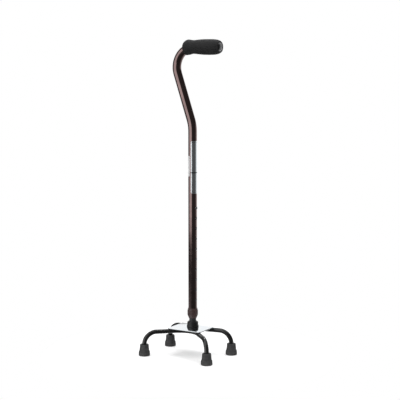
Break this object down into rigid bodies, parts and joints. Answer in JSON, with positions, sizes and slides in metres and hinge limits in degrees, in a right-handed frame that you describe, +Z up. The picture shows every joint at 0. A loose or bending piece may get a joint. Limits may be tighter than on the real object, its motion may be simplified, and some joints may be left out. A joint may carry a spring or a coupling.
{
  "type": "quad walking cane",
  "caption": "Offset-handle walking cane: foam grip, telescoping shaft with snap button and locking collar, and a low four-footed base under a plate.",
  "frame": {"origin": "on the floor, at the centre of the four feet", "axes": "+Z up along the shaft, +X the way the grip points and along the base's longer side, +Y the side of the base that the shaft stands nearer to"},
  "size_m": [0.2074, 0.1474, 0.7746],
  "materials": {
    "bronze_tube": "gloss",
    "grip_foam": "matte",
    "black_plastic": "satin",
    "collar_plastic": "satin",
    "label_foil": "gloss",
    "label_paper": "satin",
    "nylon": "satin",
    "stem_grey": "satin",
    "zinc_steel": "satin",
    "spring_steel": "satin",
    "chrome": "polished",
    "leg_enamel": "gloss",
    "rubber": "matte"
  },
  "bodies": {
    "base": {"base_plate": "chrome", "leg_tube_front": "leg_enamel", "leg_tube_rear": "leg_enamel", "rubber_foot_front_left": "rubber", "rubber_foot_front_right": "rubber", "rubber_foot_rear_left": "rubber", "rubber_foot_rear_right": "rubber", "foot_disc_front_left": "zinc_steel", "foot_disc_front_right": "zinc_steel", "foot_disc_rear_left": "zinc_steel", "foot_disc_rear_right": "zinc_steel", "centre_bolt": "zinc_steel", "lock_washer": "zinc_steel", "stem_boot": "black_plastic", "stem_plug": "zinc_steel", "lower_tube": "stem_grey", "glide_bushing": "nylon", "button_spring": "spring_steel"},
    "button": {"snap_button": "zinc_steel"},
    "clamp": {"clamp_ring": "nylon"},
    "handle": {"upper_tube": "bronze_tube", "hand_grip": "grip_foam", "grip_end_plug": "black_plastic", "front_label": "label_foil", "rear_label": "label_paper", "collet_insert": "collar_plastic"},
    "wiper": {"wiper_ring": "rubber"},
    "collar": {"locking_collar": "collar_plastic"}
  },
  "joints": [
    {"name": "button_press", "type": "slide", "parent": "base", "child": "button", "axis": [-1, 0, 0], "range_m": [0, 0.0032], "stiffness_N_per_m": 2000, "springref_m": -0.002, "deforming": ["button_spring"]},
    {"name": "height_adjust", "type": "slide", "parent": "base", "child": "clamp", "axis": [0, 0, 1], "range_m": [0, 0.2286], "deforming": ["snap_button"]},
    {"name": "handle_turn", "type": "hinge", "parent": "clamp", "child": "handle", "pos_m": [0, 0.0229, 0.0961], "axis": [0, 0, 1], "range_deg": [0, 180]},
    {"name": "collar_travel", "type": "slide", "parent": "handle", "child": "wiper", "axis": [0, 0, -1], "range_m": [0, 0.0025]},
    {"name": "collar_turn", "type": "hinge", "parent": "wiper", "child": "collar", "pos_m": [0, 0.0229, 0.0998], "axis": [0, 0, -1], "range_deg": [0, 360]}
  ],
  "couplings": [
    {"joint": "collar_turn", "follows": "collar_travel", "rad_per_m": 2513.3}
  ]
}
